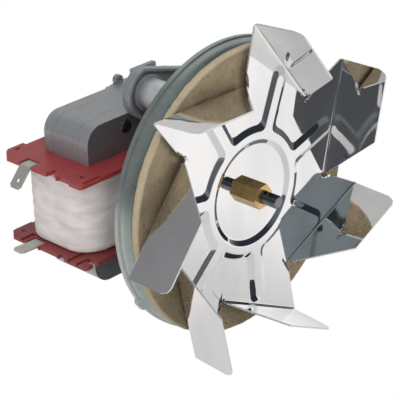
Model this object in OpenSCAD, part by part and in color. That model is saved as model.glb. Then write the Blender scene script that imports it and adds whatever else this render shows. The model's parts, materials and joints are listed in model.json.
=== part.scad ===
// Hot air fan motor for an oven: a C frame shaded pole motor behind an
// insulated round mounting flange, driving a folded sheet fan wheel.
// The motor lies along Y with its fan towards -Y and its coil towards -X.
// Inside the modules the shaft runs along local Z, forward is towards the fan,
// and the origin is the centre of the flange's rear rim, its mounting face.

/* [Fan wheel] */
// Diameter over the outer ends of the folds
fan_d = 150; // [140:1:160]
// Diameter through the inner ends of the folds
fold_inner_d = 99.6; // [92:0.2:104]
// Number of blades
fan_blades = 7; // [6:1:8]
// Angle that one fold spans about the shaft
fold_sweep = 44.6; // [38:0.2:44.8]
// Direction of the first blade's outer corner, from +X towards +Z
first_corner_angle = 85.8; // [60:0.2:110]
// Sheet thickness of the fan wheel
fan_sheet_t = 0.8; // [0.6:0.1:1.2]
// Height of the folded vanes above the front of the sheet
vane_h = 23.5; // [18:0.5:28]
// Outward lean of the vanes
vane_lean = 3.8; // [0:0.2:8]
// Straight length of a vane's free edge
vane_free_l = 32; // [26:0.5:38]
// Rounding of a vane's free corner
vane_corner_r = 4.2; // [2:0.2:7]
// Inside radius of the folds
fold_r = 1; // [0.8:0.1:2]
// Diameter of the relief notch at the inner end of each fold
relief_d = 3; // [2:0.2:4]
// Outer diameter of the pressed ring
press_ring_outer_d = 57.4; // [52:0.2:62]
// Inner diameter of the pressed ring
press_ring_inner_d = 45.6; // [40:0.2:48]
// Height of the pressed ring and ribs
press_h = 1.2; // [0.8:0.1:2]
// Width of a pressed rib
press_rib_w = 7; // [5:0.2:9]
// Distance of a rib's round end from the shaft axis
press_rib_reach = 54; // [44:0.5:58]
// Angle from a blade's outer corner back to its rib
press_rib_offset = 17.8; // [14:0.2:22]

/* [Shaft] */
// Diameter of the shaft in its bearings
shaft_d = 8; // [7:0.5:10]
// Diameter of the threaded end
thread_d = 6; // [5:0.5:6.5]
// Length of the threaded end beyond the nut
stub_l = 8.6; // [5:0.2:14]
// Depth of the flat on the threaded end
stub_flat_depth = 0.7; // [0.4:0.1:0.8]
// Length of the shaft behind the rear bearing
tail_l = 4; // [2:0.5:12]
// Width across the flats of the nut
nut_af = 10; // [9:0.5:13]
// Length of the nut
nut_l = 7.2; // [5:0.2:10]
// Outer diameter of the collar behind the fan wheel
collar_d = 16; // [13:0.5:20]

/* [Flange and insulation] */
// Diameter of the flange over its rear rim
flange_d = 131.3; // [126:0.1:136]
// Depth of the flange from its rear rim to its front face
flange_depth = 4.6; // [4:0.1:8]
// Radius of the flange's rounded shoulder
flange_shoulder_r = 3.6; // [2:0.1:4]
// Sheet thickness of the flange
flange_sheet_t = 1.2; // [0.8:0.1:1.6]
// Diameter of the hole in the middle of the flange
flange_hole_d = 44; // [40:1:50]
// Direction of the locating nib on the rim, from +X towards +Z
nib_angle = 214; // [0:1:359]
// Height of the locating nib beyond the rim
nib_h = 1.3; // [0.6:0.1:2.5]
// Width of the locating nib
nib_w = 6; // [3:0.5:12]
// Diameter of the insulation disc
insulation_d = 130.4; // [124:0.1:134]
// Thickness of the insulation disc
insulation_t = 7.8; // [5:0.1:10]
// Radius of the insulation's bulging edge
insulation_edge_r = 9; // [8:0.5:14]
// Diameter of the shaft hole in the insulation
insulation_hole_d = 24; // [20:1:34]
// Running gap between the insulation and the fan wheel
fan_gap = 2.3; // [1.5:0.1:6]

/* [Laminated stack] */
// Distance from the flange's mounting face to the front of the stack
stack_gap = 24.4; // [23:0.1:28]
// Thickness of the laminated stack
stack_t = 27; // [22:0.5:34]
// Height of the stack over both arms
stack_h = 73; // [70:0.5:78]
// Height of the space between the arms
window_h = 40; // [38:0.5:43]
// Distance from the closed end of the space between the arms to the bobbin
coil_gap = 1.8; // [1.5:0.1:3]
// Distance from the shaft axis to the closed end of the stack
stack_back_reach = 24; // [22.5:0.5:28]
// Corner radius at the free ends of the arms
arm_corner_r = 8.3; // [4:0.1:12]
// Corner radius at the closed end of the stack
back_corner_r = 9; // [4:0.5:12]
// Distance from the shaft axis to the space between the arms
window_start = 22; // [21:0.1:23]
// Diameter of the rotor bore
bore_d = 32; // [30:0.2:33]
// Width of the core leg inside the coil
leg_w = 16.6; // [14:0.2:18]
// Diameter of the rivets that hold the sheets
rivet_d = 4.4; // [3:0.1:6]
// Distance of the rivets from the upper and lower edges of the stack
rivet_edge = 5.6; // [5:0.1:7]
// Height of a rivet head
rivet_head_h = 0.6; // [0.3:0.1:1.2]
// Width of a shading ring's conductor
shade_w = 2.6; // [2:0.1:3]

/* [Coil and bobbin] */
// Size of a bobbin flange along X
bobbin_w = 47.4; // [46:0.2:49]
// Size of a bobbin flange along Y
bobbin_depth = 50; // [48:0.2:52]
// Thickness of a bobbin flange
bobbin_flange_t = 2; // [1.6:0.1:2.6]
// Wall of the bobbin's tube
bobbin_wall = 1.2; // [0.8:0.1:1.6]
// Chamfer at the bobbin's corners
bobbin_chamfer = 3.4; // [2:0.1:5]
// Thickness of the lower bobbin flange
lower_flange_t = 1.6; // [1.4:0.1:2]
// Gap between the lower bobbin flange and the lower arm
lower_lift = 0.7; // [0.1:0.1:1]
// Distance from the bobbin flange's side edges in to the wrapped coil
coil_inset_x = 5; // [4:0.1:7]
// Distance from the bobbin flange's front and rear edges in to the wrapped coil
coil_inset_y = 4; // [3:0.1:6]
// Corner radius of the wrapped coil
coil_corner_r = 13.5; // [8:0.5:14]
// Thickness of the tape wrapping
tape_t = 0.8; // [0.5:0.1:1.4]
// Width of a blade terminal
tab_w = 6.3; // [4.8:0.1:6.3]
// Thickness of a blade terminal
tab_t = 0.8; // [0.5:0.1:0.8]
// Length of a terminal's free blade
tab_l = 10.5; // [8:0.5:13]
// Diameter of the hole in a terminal
tab_hole_d = 1.8; // [1.4:0.1:2.4]
// Downward bend of the upper terminal
tab_droop_upper = 48; // [30:1:60]
// Upward bend of the lower terminal
tab_droop_lower = 3; // [0:1:30]

/* [Brackets and bearings] */
// Distance of the left pillars from the shaft axis along X
pillar_left_x = 22.9; // [22.3:0.1:24]
// Height of the left pillars from the shaft axis
pillar_left_z = 43.9; // [43:0.1:46]
// Distance of the right pillars from the shaft axis along X
pillar_right_x = 44.8; // [42:0.2:46]
// Height of the right pillars from the shaft axis
pillar_right_z = 24; // [22:0.2:26]
// Diameter of a pillar
pillar_d = 13.6; // [12:0.2:15]
// Diameter of a bracket lobe
lobe_d = 23.5; // [22:0.1:26]
// Distance of the casting's long sides in from the lines that touch its lobes
web_inset = 1.3; // [0.6:0.1:2]
// Thickness of the bracket's plate
bracket_plate_t = 2.6; // [2:0.1:3.4]
// Height of the raised rim above the stack's face
bracket_rim_h = 4.6; // [3.6:0.1:6]
// Width of the raised rim
bracket_rim_w = 1.2; // [1:0.1:2]
// Draft of a pillar, as the loss of radius over its length
pillar_draft = 0.5; // [0:0.1:1]
// Diameter of the screws that hold the flange
flange_screw_d = 4; // [3:0.5:5]
// Diameter of the bolts through the stack
stack_bolt_d = 4; // [3:0.5:5]
// Distance of the through bolts from the shaft axis along X
stack_bolt_x = 12; // [10:0.5:14]
// Distance of the through bolts from the upper and lower edges of the stack
bolt_edge = 5.9; // [5.5:0.1:6.5]
// Outer diameter of the self aligning bearings
bearing_d = 16; // [15:0.5:18]
// Length of a bearing along the shaft
bearing_l = 10; // [8:0.5:12]
// Radial running clearance of the shaft
shaft_clearance = 0.05; // [0.02:0.01:0.1]
// Diameter of the front bracket's bearing dome
dome_d = 45.6; // [45:0.1:46.4]
// Height of the rear bracket behind the stack
rear_depth = 17; // [16:0.5:20]

/* [Rotor] */
// Air gap between rotor and stack
air_gap = 0.35; // [0.25:0.05:0.5]
// Number of conductor bars in the rotor
rotor_bars = 17; // [13:1:19]
// Diameter of a conductor bar
rotor_bar_d = 2.4; // [1.8:0.1:2.8]
// Thickness of an end ring
end_ring_t = 3; // [2:0.5:4]
// Thickness of a thrust washer
thrust_t = 1; // [0.6:0.1:1.5]
// End play of the rotor at each bearing
end_play = 0.3; // [0.2:0.1:0.6]

/* [Hidden] */
$fn = 96;
fit_gap = 0.05;
cut_extra = 1;
clear_gap = 0.3;
arc_step = 7.5;

// Places along the shaft, forward positive
flange_front = flange_depth;
insulation_front = flange_front + insulation_t;
sheet_back = insulation_front + fan_gap;
sheet_front = sheet_back + fan_sheet_t;
nut_front = sheet_front + nut_l;
shaft_tip = nut_front + stub_l;
stack_front = -stack_gap;
stack_back = stack_front - stack_t;
stack_mid = (stack_front + stack_back) / 2;
flange_back = flange_front - flange_sheet_t;

// Fan wheel
fan_r = fan_d / 2;
fold_inner_r = fold_inner_d / 2;
blade_pitch = 360 / fan_blades;
fold_l = norm(polar(fan_r, fold_sweep) - polar(fold_inner_r, 0));
fold_steps = 8;
fold_overlap = 1;
bend_setback = (fold_r + fan_sheet_t) * tan((90 - vane_lean) / 2);
fan_bore_d = thread_d + 2 * fit_gap;

// Motor
bore_r = bore_d / 2;
rotor_r = bore_r - air_gap;
window_half = window_h / 2;
stack_half = stack_h / 2;
arm_reach = window_start + coil_gap + (bobbin_w + leg_w) / 2;
stack_bolt_z = stack_half - bolt_edge;
leg_x = -arm_reach + leg_w / 2;
bobbin_x = leg_x;
bobbin_hole_w = leg_w + 2 * fit_gap;
bobbin_hole_d = stack_t + 2 * fit_gap;
coil_w = bobbin_w - 2 * coil_inset_x;
coil_depth = bobbin_depth - 2 * coil_inset_y;
flange_outer_z = window_half - fit_gap;
flange_inner_z = flange_outer_z - bobbin_flange_t;
lower_outer_z = -flange_outer_z + lower_lift;
lower_inner_z = lower_outer_z + lower_flange_t;
notch_l = 5;
terminal_y = -9;
ring_front = stack_front + end_ring_t;
ring_back = stack_back - end_ring_t;
pillars = [[-pillar_left_x, pillar_left_z], [pillar_right_x, pillar_right_z],
    [pillar_right_x, -pillar_right_z], [-pillar_left_x, -pillar_left_z]];
bolts_loop = [[-stack_bolt_x, stack_bolt_z], [stack_bolt_x, stack_bolt_z],
    [stack_bolt_x, -stack_bolt_z], [-stack_bolt_x, -stack_bolt_z]];
rivet_share = 0.6;
rivets = [for (sz = [-1, 1]) [-arm_reach * rivet_share, sz * (stack_half - rivet_edge)]];

// Bearings and brackets
cast_wall = 2.4;
dome_room = 4.4;
bearing_drop = 0.6;
rear_bearing_gap = 3.4;
housing_wall = 2.5;
housing_play = 0.8;
housing_lip = 0.8;
clip_t = 0.6;
clip_margin = 1.2;
dome_inner_r = dome_d / 2 - cast_wall;
dome_front = stack_front + end_ring_t + dome_room;
bearing_r = bearing_d / 2;
bearing_half = bearing_l / 2;
front_bearing_z = dome_front + bearing_half - bearing_drop;
rear_bearing_z = stack_back - rear_depth + bearing_half + rear_bearing_gap;
housing_d = bearing_d + 2 * housing_wall;
housing_inner_r = bearing_r + housing_play;
clip_offset = bearing_half - clip_margin;
bolt_hole_d = stack_bolt_d + 0.4;
shaft_hole_d = shaft_d + 3;
bolt_head_d = 7;
rear_ear_t = 2.4;
rear_ear_r = bolt_edge - 0.1;
shaft_tail = rear_bearing_z - bearing_half - tail_l;
bolt_head_h = 2.6;
bolt_nut_h = 3.2;

// Shaft end: the thread goes on past the nut, then a narrow groove and a plain end
thread_past_nut = 1.3;
groove_l = 0.5;
groove_depth = 0.3;
end_relief = 0.1;

function polar(r, a) = [r * cos(a), r * sin(a)];

// Turns a shape drawn with its shaft axis along local Z so that forward is -Y
module in_frame() {
    rotate([90, 0, 0]) children();
}

module slab(z0, z1) {
    translate([0, 0, z0]) linear_extrude(z1 - z0) children();
}

module disc(d, z0, z1) {
    translate([0, 0, z0]) cylinder(d = d, h = z1 - z0);
}

module rounded_box_2d(w, h, r) {
    square([w - 2 * r, h], center = true);
    square([w, h - 2 * r], center = true);
    for (sx = [-1, 1], sy = [-1, 1])
        translate([sx * (w / 2 - r), sy * (h / 2 - r)]) circle(r);
}

// Plate of one width around a closed run of centres
module belt_2d(centres, r) {
    n = len(centres);
    polygon(centres);
    for (i = [0 : n - 1]) {
        a = centres[i];
        b = centres[(i + 1) % n];
        run = b - a;
        translate(a) {
            circle(r);
            rotate(atan2(run[1], run[0])) translate([0, -r]) square([norm(run), 2 * r]);
        }
    }
}

// Corner points of one blade of the flat wheel, where the bend of its fold begins
function blade_points(turn) =
    let (outer = polar(fan_r, turn), inner = polar(fold_inner_r, turn - fold_sweep),
        along = (inner - outer) / fold_l, shift = bend_setback * [along[1], -along[0]])
    [outer + shift, inner + shift, inner];

module wheel_outline_2d() {
    difference() {
        polygon([for (i = [0 : fan_blades - 1], p = blade_points(first_corner_angle - i * blade_pitch)) p]);
        for (i = [0 : fan_blades - 1])
            translate(blade_points(first_corner_angle - i * blade_pitch)[2]) circle(d = relief_d, $fn = 24);
    }
}

// Vane outline: along the fold in X, up from the sheet in Y
module vane_outline_2d() {
    up = vane_h / cos(vane_lean);
    end = fold_l - relief_d * 0.4;
    difference() {
        polygon([[0, -fan_sheet_t - cut_extra], [0, up], [vane_free_l, up], [end, fold_r],
            [end, -fan_sheet_t - cut_extra]]);
        difference() {
            translate([-cut_extra, up - vane_corner_r])
                square([vane_corner_r + cut_extra, vane_corner_r + cut_extra]);
            translate([vane_corner_r, up - vane_corner_r]) circle(vane_corner_r);
        }
    }
}

// Section across a fold: edge of the flat part, bend and vane, with outward as +X
module fold_section_2d() {
    bend = 90 - vane_lean;
    outer_r = fold_r + fan_sheet_t;
    centre = [-bend_setback, fold_r];
    tip = (vane_h + vane_corner_r) * polar(1, bend);
    arc = [for (i = [0 : fold_steps]) i * bend / fold_steps - 90];
    polygon(concat(
        [[-bend_setback - fold_overlap, -fan_sheet_t]],
        [for (a = arc) centre + polar(outer_r, a)],
        [centre + polar(outer_r, bend - 90) + tip, centre + polar(fold_r, bend - 90) + tip],
        [for (i = [0 : fold_steps]) centre + polar(fold_r, arc[fold_steps - i])],
        [[-bend_setback - fold_overlap, 0]]));
}

module vane() {
    outer = polar(fan_r, 0);
    along = polar(fold_inner_r, -fold_sweep) - outer;
    translate([outer[0], outer[1], 0]) rotate(atan2(along[1], along[0])) intersection() {
        rotate([90, 0, 90]) linear_extrude(fold_l) fold_section_2d();
        translate([0, vane_h, 0]) rotate([90, 0, 0]) linear_extrude(2 * vane_h) vane_outline_2d();
    }
}

// Ring and ribs pressed out of the sheet, narrowed by one wall for the hollow side
module press_outline_2d(inset) {
    difference() {
        circle(d = press_ring_outer_d - 2 * inset);
        circle(d = press_ring_inner_d + 2 * inset);
    }
    ring_mid = (press_ring_outer_d + press_ring_inner_d) / 4;
    w = press_rib_w - 2 * inset;
    for (i = [0 : fan_blades - 1])
        rotate(first_corner_angle - press_rib_offset - i * blade_pitch) {
            translate([ring_mid, -w / 2]) square([press_rib_reach - press_rib_w / 2 - ring_mid, w]);
            translate([press_rib_reach - press_rib_w / 2, 0]) circle(d = w, $fn = 48);
        }
}

module fan_wheel() {
    color("silver") in_frame() difference() {
        union() {
            slab(sheet_back, sheet_front) wheel_outline_2d();
            slab(sheet_back, sheet_front + press_h) press_outline_2d(0);
            for (i = [0 : fan_blades - 1])
                rotate(first_corner_angle - i * blade_pitch) translate([0, 0, sheet_front]) vane();
        }
        slab(sheet_back - cut_extra, sheet_back + press_h) press_outline_2d(fan_sheet_t);
        disc(fan_bore_d, sheet_back - cut_extra, sheet_front + cut_extra);
    }
}

module hub_nut() {
    turned = 6;
    chamfer = 0.6;
    corners_d = nut_af / cos(30);
    color("darkgoldenrod") in_frame() difference() {
        intersection() {
            translate([0, 0, sheet_front]) rotate(turned) cylinder(d = corners_d, h = nut_l, $fn = 6);
            translate([0, 0, sheet_front])
                cylinder(d1 = corners_d + 2 * nut_l, d2 = nut_af, h = nut_l + chamfer);
        }
        disc(thread_d + 2 * fit_gap, sheet_front - cut_extra, nut_front + cut_extra);
    }
}

module shaft() {
    tip_chamfer = 0.6;
    groove_z = nut_front + thread_past_nut;
    end_z = groove_z + groove_l;
    end_d = thread_d - 2 * end_relief;
    color("dimgray") in_frame() difference() {
        union() {
            disc(shaft_d, shaft_tail, sheet_back);
            disc(thread_d, sheet_back, groove_z);
            disc(thread_d - 2 * groove_depth, groove_z, end_z);
            disc(end_d, end_z, shaft_tip - tip_chamfer);
            translate([0, 0, shaft_tip - tip_chamfer])
                cylinder(d1 = end_d, d2 = end_d - 2 * tip_chamfer, h = tip_chamfer);
        }
        translate([-thread_d, thread_d / 2 - stub_flat_depth, nut_front + 1.2])
            cube([2 * thread_d, thread_d, stub_l]);
    }
}

module fan_collar() {
    collar_l = 9;
    lip_t = 2.4;
    lip = 1.5;
    color("gray") in_frame() difference() {
        union() {
            disc(collar_d, sheet_back - lip_t, sheet_back);
            disc(collar_d - 2 * lip, sheet_back - collar_l, sheet_back - lip_t);
        }
        disc(shaft_d + 2 * fit_gap, sheet_back - collar_l - cut_extra, sheet_back + cut_extra);
    }
}

module insulation_disc() {
    hole_r = insulation_hole_d / 2;
    core_r = insulation_d / 2 - insulation_edge_r;
    bulge_share = 0.28;
    widest = insulation_front - insulation_t * bulge_share;
    color("tan") in_frame() rotate_extrude($fn = 160) {
        translate([hole_r, flange_front]) square([core_r - hole_r, insulation_t]);
        intersection() {
            translate([core_r, widest]) circle(insulation_edge_r);
            translate([core_r, flange_front]) square([insulation_edge_r, insulation_t]);
        }
    }
}

module flange_section_2d() {
    r = flange_d / 2;
    s = flange_shoulder_r;
    t = flange_sheet_t;
    difference() {
        union() {
            translate([r - t, 0]) square([t, flange_front - s]);
            translate([flange_hole_d / 2, flange_back]) square([r - s - flange_hole_d / 2, t]);
            translate([r - s, flange_front - s]) intersection() {
                circle(s, $fn = 64);
                square(s);
            }
        }
        translate([r - s, flange_front - s]) circle(s - t, $fn = 64);
    }
}

// Countersunk screws into the pillars: height and widening of the head
sink_h = 0.9;
sink_w = 3;
screw_play = 0.6;

module mounting_flange() {
    stiffener_r = flange_hole_d / 2;
    stiffener_h = 2;
    nib_end = flange_front - flange_shoulder_r + 0.6;
    color("darkseagreen") in_frame() difference() {
        union() {
            rotate_extrude($fn = 180) flange_section_2d();
            rotate_extrude() translate([stiffener_r, flange_back - stiffener_h])
                square([flange_sheet_t, stiffener_h + flange_sheet_t / 3]);
            rotate(nib_angle) translate([flange_d / 2 - flange_sheet_t, -nib_w / 2, 0])
                cube([flange_sheet_t + nib_h, nib_w, nib_end]);
        }
        for (p = pillars)
            translate(p) {
                disc(flange_screw_d + screw_play, flange_back - cut_extra, flange_front + cut_extra);
                translate([0, 0, flange_front - sink_h])
                    cylinder(d1 = flange_screw_d + screw_play, d2 = flange_screw_d + screw_play + sink_w,
                        h = sink_h + fit_gap);
            }
    }
}

module flange_screws() {
    screw_l = 9;
    color("lightgray") in_frame() for (p = pillars)
        translate(p) {
            disc(flange_screw_d - 2 * fit_gap, flange_front - screw_l, flange_front - sink_h);
            translate([0, 0, flange_front - sink_h])
                cylinder(d1 = flange_screw_d - 2 * fit_gap, d2 = flange_screw_d - 2 * fit_gap + sink_w,
                    h = sink_h - fit_gap);
        }
}

// Points of an arc about a centre
function arc_points(centre, r, start, end) =
    let (steps = ceil((end - start) / arc_step))
    [for (i = [0 : steps]) centre + polar(r, start + (end - start) * i / steps)];

// Casting outline: lobes round the four pillars, straight on the left to clear the coil
module bracket_outline_2d(inset) {
    r = lobe_d / 2 - inset;
    coil_side = bobbin_x + bobbin_w / 2 + clear_gap + inset;
    slope = atan2(pillar_left_x + pillar_right_x, pillar_left_z - pillar_right_z);
    lobe_end = 270 + asin((coil_side + pillar_left_x) / r);
    web = acos((r - web_inset) / r);
    half = concat(arc_points([pillar_right_x, pillar_right_z], r, 0, slope - web),
        arc_points([-pillar_left_x, pillar_left_z], r, slope + web, lobe_end));
    last = len(half) - 1;
    polygon(concat(half, [for (i = [0 : last]) [half[last - i][0], -half[last - i][1]]]));
}

module front_bracket() {
    rim_front = stack_front + bracket_rim_h;
    plate_front = stack_front + bracket_plate_t;
    pillar_r = pillar_d / 2;
    root = 1;
    rib_w = 2.4;
    rib_step = 0.5;
    dome_slope = 3;
    pillar_foot = 1.3;
    foot_h = rim_front - plate_front + root;
    pillar_bore_l = 12;
    vent_d = 9;
    vent_x = (pillar_right_x + dome_d / 2) / 2 - 2;
    housing_front = front_bearing_z + bearing_half - housing_lip;
    color("lightslategray") in_frame() difference() {
        union() {
            difference() {
                slab(stack_front, rim_front) bracket_outline_2d(0);
                slab(plate_front, rim_front + cut_extra) bracket_outline_2d(bracket_rim_w);
            }
            for (p = pillars)
                translate([p[0], p[1], plate_front - root]) {
                    cylinder(r1 = pillar_r, r2 = pillar_r - pillar_draft,
                        h = flange_back - plate_front + root);
                    cylinder(r = pillar_r + pillar_foot, h = foot_h);
                }
            disc(dome_d, plate_front - root, dome_front - dome_slope);
            translate([0, 0, dome_front - dome_slope])
                cylinder(d1 = dome_d, d2 = dome_d - 2 * dome_slope - 2, h = dome_slope);
            disc(housing_d, plate_front - root, housing_front);
            for (p = pillars)
                rotate(atan2(p[1], p[0])) translate([housing_d / 2 - root, -rib_w / 2, plate_front - root])
                    cube([norm(p) - housing_d / 2, rib_w, bracket_rim_h - bracket_plate_t + root - rib_step]);
        }
        disc(2 * dome_inner_r, stack_front - cut_extra, dome_front - cast_wall);
        disc(shaft_hole_d, stack_front, housing_front + cut_extra);
        translate([0, 0, front_bearing_z]) sphere(bearing_r + fit_gap);
        disc(2 * housing_inner_r, stack_front, front_bearing_z);
        for (p = pillars)
            translate(p) disc(flange_screw_d, flange_back - pillar_bore_l, flange_back + cut_extra);
        for (b = bolts_loop)
            translate(b) {
                disc(bolt_hole_d, stack_front - cut_extra, rim_front + cut_extra);
                disc(bolt_head_d + 1, plate_front, rim_front + cut_extra);
            }
        // Vent openings between the bolts and the dome
        for (sz = [-1, 1])
            translate([vent_x, sz * vent_d]) disc(vent_d, stack_front - cut_extra, plate_front + cut_extra);
    }
}

module rear_bracket() {
    dome_r = 20;
    lug_x = 10.6;
    lug_d = 4.6;
    lug_hole_d = 1.8;
    lug_rise = 1.3;
    tab_x = 2.2;
    tab_rise = 3.4;
    cone_h = 3;
    cone_back = rear_bearing_z - 4;
    dome_inner_back = rear_bearing_z + 1.4;
    housing_back = rear_bearing_z - bearing_half + housing_lip;
    color("lightslategray") in_frame() difference() {
        union() {
            slab(stack_back - rear_ear_t, stack_back) difference() {
                union() {
                    belt_2d(bolts_loop, rear_ear_r);
                    translate([-lug_x, stack_half + lug_rise]) circle(d = lug_d);
                    translate([-tab_x, stack_half - 2]) square([tab_x + stack_bolt_x, 2 + tab_rise]);
                }
                translate([-lug_x, stack_half + lug_rise]) circle(d = lug_hole_d);
            }
            disc(2 * (dome_r + cast_wall), cone_back + cone_h, stack_back);
            translate([0, 0, cone_back])
                cylinder(d1 = housing_d + 2 * cone_h, d2 = 2 * (dome_r + cast_wall), h = cone_h);
            disc(housing_d, housing_back, stack_back);
        }
        disc(2 * dome_r, dome_inner_back, stack_back + cut_extra);
        disc(shaft_hole_d, housing_back - cut_extra, stack_back);
        translate([0, 0, rear_bearing_z]) sphere(bearing_r + fit_gap);
        disc(2 * housing_inner_r, rear_bearing_z, stack_back);
        for (b = bolts_loop)
            translate(b) disc(bolt_hole_d, stack_back - rear_ear_t - cut_extra, stack_back + cut_extra);
    }
}

// Rectangle of the frame with a free end radius on the left and a closed end on the right
module stack_outline_2d() {
    difference() {
        translate([-arm_reach, -stack_half]) square([arm_reach + stack_back_reach, stack_h]);
        for (sz = [-1, 1]) {
            translate([-arm_reach, sz * stack_half]) corner_cut_2d(arm_corner_r, 1, -sz);
            translate([stack_back_reach, sz * stack_half]) corner_cut_2d(back_corner_r, -1, -sz);
        }
    }
}

// Removes a square corner outside its round, with the round's centre on the given side
module corner_cut_2d(r, sx, sy) {
    difference() {
        square(2 * r, center = true);
        translate([sx * r, sy * r]) circle(r);
        translate([sx * 2 * r, 0]) square([2 * r, 6 * r], center = true);
        translate([0, sy * 2 * r]) square([6 * r, 2 * r], center = true);
    }
}

// Shading rings: radius of their slots, directions of their legs, width of the slots' mouths
shade_slot_r = bore_r + 2.6;
shade_angles = [14, 52];
shade_mouth = 1.2;
pole_notch_r = 1.6;

module shading_slots_2d() {
    for (half_turn = [0, 180], a = shade_angles)
        rotate(a + half_turn) {
            translate([shade_slot_r, 0]) circle(d = shade_w + 2 * fit_gap);
            translate([bore_r - cut_extra, -shade_mouth / 2])
                square([shade_slot_r - bore_r + cut_extra, shade_mouth]);
        }
}

module stator_stack() {
    color("slategray") in_frame() slab(stack_back, stack_front) difference() {
        stack_outline_2d();
        translate([-arm_reach - cut_extra, -window_half])
            square([arm_reach + cut_extra - window_start, window_h]);
        circle(bore_r);
        shading_slots_2d();
        for (a = [0, 180])
            rotate(a) translate([bore_r, 0]) circle(pole_notch_r, $fn = 32);
        for (b = bolts_loop)
            translate(b) circle(d = bolt_hole_d);
        for (p = rivets)
            translate(p) circle(d = rivet_d);
    }
}

module bridge_core() {
    color("slategray") in_frame() slab(stack_back, stack_front)
        translate([-arm_reach, -window_half]) square([leg_w, window_h]);
}

module stack_rivets() {
    head_w = 1.6;
    color("darkslategray") in_frame() for (p = rivets)
        translate(p) {
            disc(rivet_d, stack_back, stack_front);
            translate([0, 0, stack_front])
                cylinder(d1 = rivet_d + head_w, d2 = rivet_d + head_w / 2, h = rivet_head_h);
            translate([0, 0, stack_back - rivet_head_h])
                cylinder(d1 = rivet_d + head_w / 2, d2 = rivet_d + head_w, h = rivet_head_h);
        }
}

module shading_rings() {
    legs = [for (a = shade_angles) polar(shade_slot_r, a)];
    run = legs[1] - legs[0];
    end_r = shade_w / 2 + fit_gap;
    color("peru") in_frame() for (half_turn = [0, 180])
        rotate(half_turn) {
            for (leg = legs)
                translate(leg) disc(shade_w, stack_back - shade_w / 2, stack_front + shade_w / 2);
            for (z = [stack_back - shade_w, stack_front])
                slab(z, z + shade_w) translate(legs[0]) {
                    circle(end_r);
                    translate(run) circle(end_r);
                    rotate(atan2(run[1], run[0])) translate([0, -end_r]) square([norm(run), 2 * end_r]);
                }
        }
}

// Cuts into a bobbin flange's outer edge: start and end from its middle towards the fan, depth
upper_cuts = [[4, 9.7, 1.9], [4.6, 6.6, 4.3], [10.6, 17.9, 1]];
lower_cuts = [[-4.4, 6.9, 0.6], [7.6, 11.3, 1.7]];
// Shallow wire channels in the lower flange's upper face, in the same way
wire_channels = [[-16.4, -13.6, 7], [13.4, 16, 8.5], [19, 20.4, 6.5]];

// Bobbin flange seen from above: X as modelled, Y towards the fan
module bobbin_flange_2d(cuts, ear) {
    half_w = bobbin_w / 2;
    half_d = bobbin_depth / 2;
    c = bobbin_chamfer;
    ear_l = 14;
    tip = 1;
    rear = -half_d + 0.6;
    difference() {
        polygon([[-half_w, -half_d + 1.2 * c], [-half_w + c, -half_d], [-half_w + 1.6 * c, -half_d - ear],
            [-half_w + ear_l, -half_d - ear], [-half_w + ear_l, rear], [half_w - c, rear],
            [half_w, rear + c], [half_w, half_d - c], [half_w - c, half_d],
            [-half_w + tip, half_d], [-half_w, half_d - tip]]);
        square([bobbin_hole_w, bobbin_hole_d], center = true);
        translate([-half_w - cut_extra, terminal_y - tab_w / 2 - 0.5])
            square([notch_l + cut_extra, tab_w + 1]);
        for (cut = cuts)
            translate([-half_w - cut_extra, cut[0]]) square([cut[2] + cut_extra, cut[1] - cut[0]]);
    }
}

module bobbin() {
    tube_w = bobbin_hole_w + 2 * bobbin_wall;
    tube_d = bobbin_hole_d + 2 * bobbin_wall;
    half_w = bobbin_w / 2;
    half_d = bobbin_depth / 2;
    tube_low = lower_outer_z + lower_flange_t / 2;
    tube_high = flange_outer_z - bobbin_flange_t / 2;
    channel_depth = 0.7;
    pin_hole_d = 2.2;
    hook_w = 2.4;
    hook_l = 5;
    hook_x = 4.2;
    color("firebrick") translate([bobbin_x, -stack_mid, 0]) difference() {
        union() {
            translate([0, 0, flange_inner_z]) linear_extrude(bobbin_flange_t)
                mirror([0, 1]) bobbin_flange_2d(upper_cuts, 1.5);
            translate([0, 0, lower_outer_z]) linear_extrude(lower_flange_t)
                mirror([0, 1]) bobbin_flange_2d(lower_cuts, 0.2);
            translate([-tube_w / 2, -tube_d / 2, tube_low]) cube([tube_w, tube_d, tube_high - tube_low]);
        }
        cube([bobbin_hole_w, bobbin_hole_d, window_h + 4], center = true);
        // Pin hole and slotted hole by the outer corners
        translate([-half_w + 6.7, -half_d + 6.1, 0]) cylinder(d = pin_hole_d, h = window_h, $fn = 24);
        translate([-half_w + 6.9, half_d - 2.1, 0]) cube([3, 1.3, window_h]);
        translate([-half_w + 6, half_d - 3.8, -window_h]) cylinder(d = pin_hole_d, h = window_h, $fn = 24);
        // Recess along the front of the upper flange
        translate([-half_w + 2.8, -half_d - cut_extra, flange_outer_z - channel_depth])
            cube([9.2, 1.9 + cut_extra, 2 * channel_depth]);
        for (cut = wire_channels)
            translate([-half_w - cut_extra, -cut[1], lower_inner_z - channel_depth])
                cube([cut[2] + cut_extra, cut[1] - cut[0], 2 * channel_depth]);
        // Hook beside the front corner of the lower flange
        translate([-half_w + hook_x, -half_d - cut_extra, lower_outer_z - cut_extra])
            cube([hook_w, hook_l + cut_extra, lower_flange_t + 2 * cut_extra]);
    }
}

module coil_block(inset, low, high) {
    translate([bobbin_x, -stack_mid, low]) linear_extrude(high - low)
        rounded_box_2d(coil_w - 2 * inset, coil_depth - 2 * inset, coil_corner_r - inset);
}

module coil_winding() {
    tube_w = bobbin_hole_w + 2 * bobbin_wall + 2 * fit_gap;
    tube_d = bobbin_hole_d + 2 * bobbin_wall + 2 * fit_gap;
    color("sienna") difference() {
        coil_block(tape_t + fit_gap, lower_inner_z + fit_gap, flange_inner_z - fit_gap);
        translate([bobbin_x, -stack_mid, 0]) cube([tube_w, tube_d, window_h], center = true);
    }
}

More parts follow.
